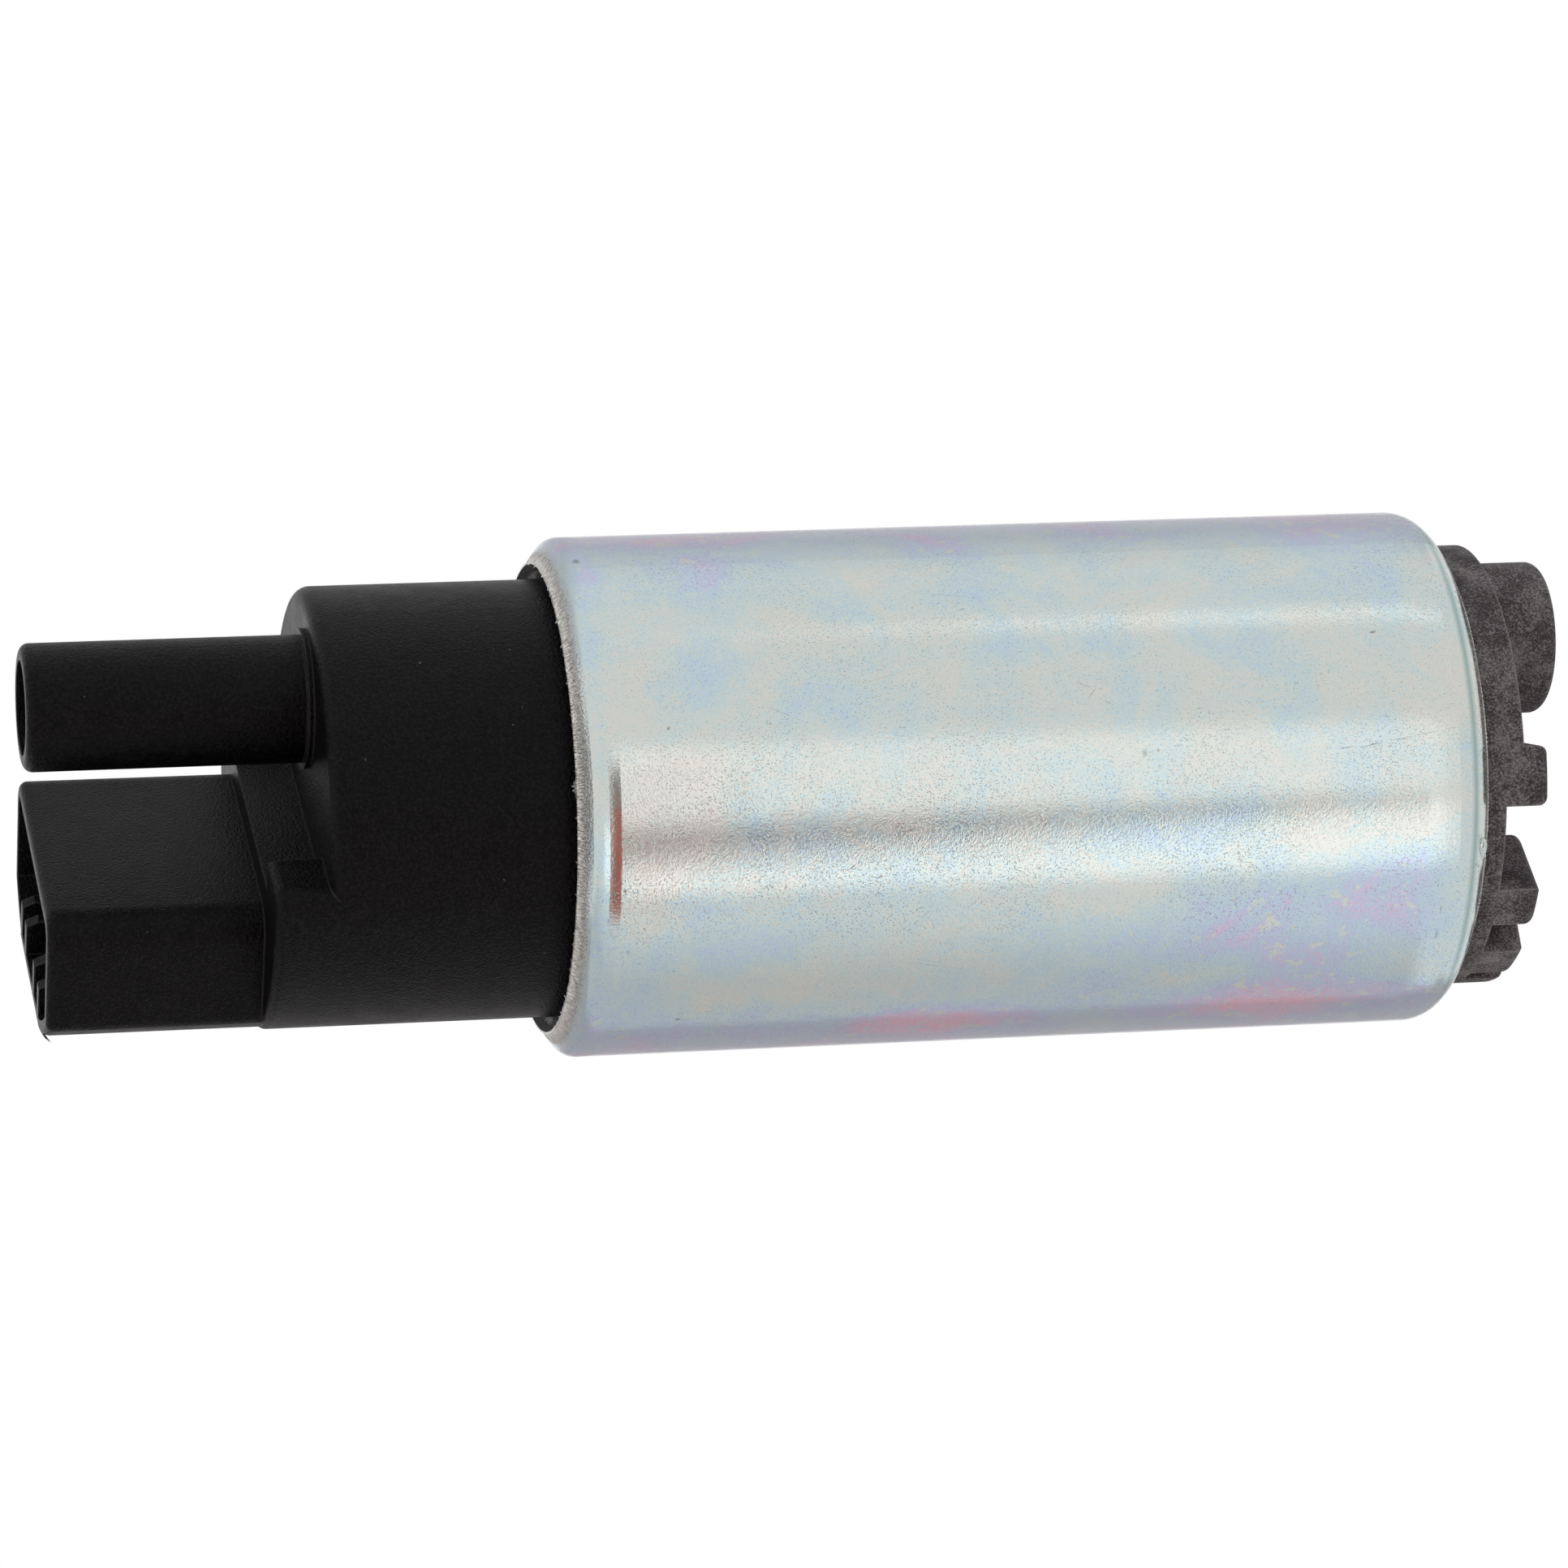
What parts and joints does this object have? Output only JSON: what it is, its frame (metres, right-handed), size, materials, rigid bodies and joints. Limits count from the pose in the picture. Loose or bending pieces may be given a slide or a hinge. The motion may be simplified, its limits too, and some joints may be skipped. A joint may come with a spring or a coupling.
{
  "type": "in-tank fuel pump",
  "caption": "In-tank electric fuel pump: turbine impeller and brushed motor in a steel case, with an outlet tube, an electrical socket and an inlet boss.",
  "frame": {"origin": "on the pump's axis, at the middle of the motor case", "axes": "+Z along the pump's axis towards the outlet; +X from the axis towards the outlet tube and the inlet boss, so the electrical socket is on the -X side"},
  "size_m": [0.038, 0.038, 0.1126],
  "materials": {
    "zinc_steel": "satin zinc plate with clear passivation",
    "black_moulding": "satin, finely spark-eroded",
    "pump_moulding": "matt, grainy",
    "seal_rubber": "matt",
    "terminal_tin": "tinned",
    "valve_polymer": "moulded",
    "valve_brass": "turned",
    "spring_steel": "drawn",
    "ball_steel": "polished",
    "holder_moulding": "moulded",
    "carbon": "pressed graphite",
    "copper": "enamelled or drawn copper",
    "ferrite": "sintered, ground",
    "bush_bronze": "sintered",
    "shaft_steel": "ground",
    "lamination": "stacked sheet",
    "phenolic": "moulded"
  },
  "bodies": {
    "pump": {"motor_case": "zinc_steel", "outlet_cover": "black_moulding", "inlet_cover": "pump_moulding", "pump_casing": "pump_moulding", "cover_seal": "seal_rubber", "terminal_positive": "terminal_tin", "terminal_negative": "terminal_tin", "check_guide": "valve_polymer", "relief_seat": "valve_brass", "check_spring": "spring_steel", "relief_spring": "spring_steel", "brush_spring_a": "spring_steel", "brush_spring_b": "spring_steel", "magnet_clip_a": "spring_steel", "magnet_clip_b": "spring_steel", "brush_holder": "holder_moulding", "pigtail_a": "copper", "pigtail_b": "copper", "choke_coil_a": "copper", "choke_coil_b": "copper", "choke_core_a": "ferrite", "choke_core_b": "ferrite", "magnet_a": "ferrite", "magnet_b": "ferrite", "upper_bush": "bush_bronze", "lower_bush": "bush_bronze", "thrust_plate": "shaft_steel"},
    "rotor": {"rotor_shaft": "shaft_steel", "armature_core": "lamination", "core_insulators": "holder_moulding", "windings": "copper", "commutator_base": "phenolic", "commutator_segments": "copper", "impeller": "phenolic"},
    "check_valve": {"check_plunger": "valve_brass"},
    "relief_valve": {"relief_ball": "ball_steel"},
    "carbon_a": {"brush_a": "carbon"},
    "carbon_b": {"brush_b": "carbon"}
  },
  "joints": [
    {"name": "rotor_spin", "type": "hinge", "parent": "pump", "child": "rotor", "pos_m": [0, 0, 0], "axis": [0, 0, 1], "continuous": true},
    {"name": "check_valve_lift", "type": "slide", "parent": "pump", "child": "check_valve", "axis": [0, 0, 1], "range_m": [0, 0.0022], "stiffness_N_per_m": 60, "springref_m": -0.006, "deforming": ["check_spring"]},
    {"name": "relief_valve_lift", "type": "slide", "parent": "pump", "child": "relief_valve", "axis": [0, 0, 1], "range_m": [0, 0.0014], "stiffness_N_per_m": 100, "springref_m": -0.003, "deforming": ["relief_spring"]},
    {"name": "brush_a_slide", "type": "slide", "parent": "pump", "child": "carbon_a", "axis": [0, 0, 1], "range_m": [0, 0.003], "stiffness_N_per_m": 80, "springref_m": -0.012, "deforming": ["brush_spring_a", "pigtail_a"]},
    {"name": "brush_b_slide", "type": "slide", "parent": "pump", "child": "carbon_b", "axis": [0, 0, 1], "range_m": [0, 0.003], "stiffness_N_per_m": 80, "springref_m": -0.012, "deforming": ["brush_spring_b", "pigtail_b"]}
  ]
}
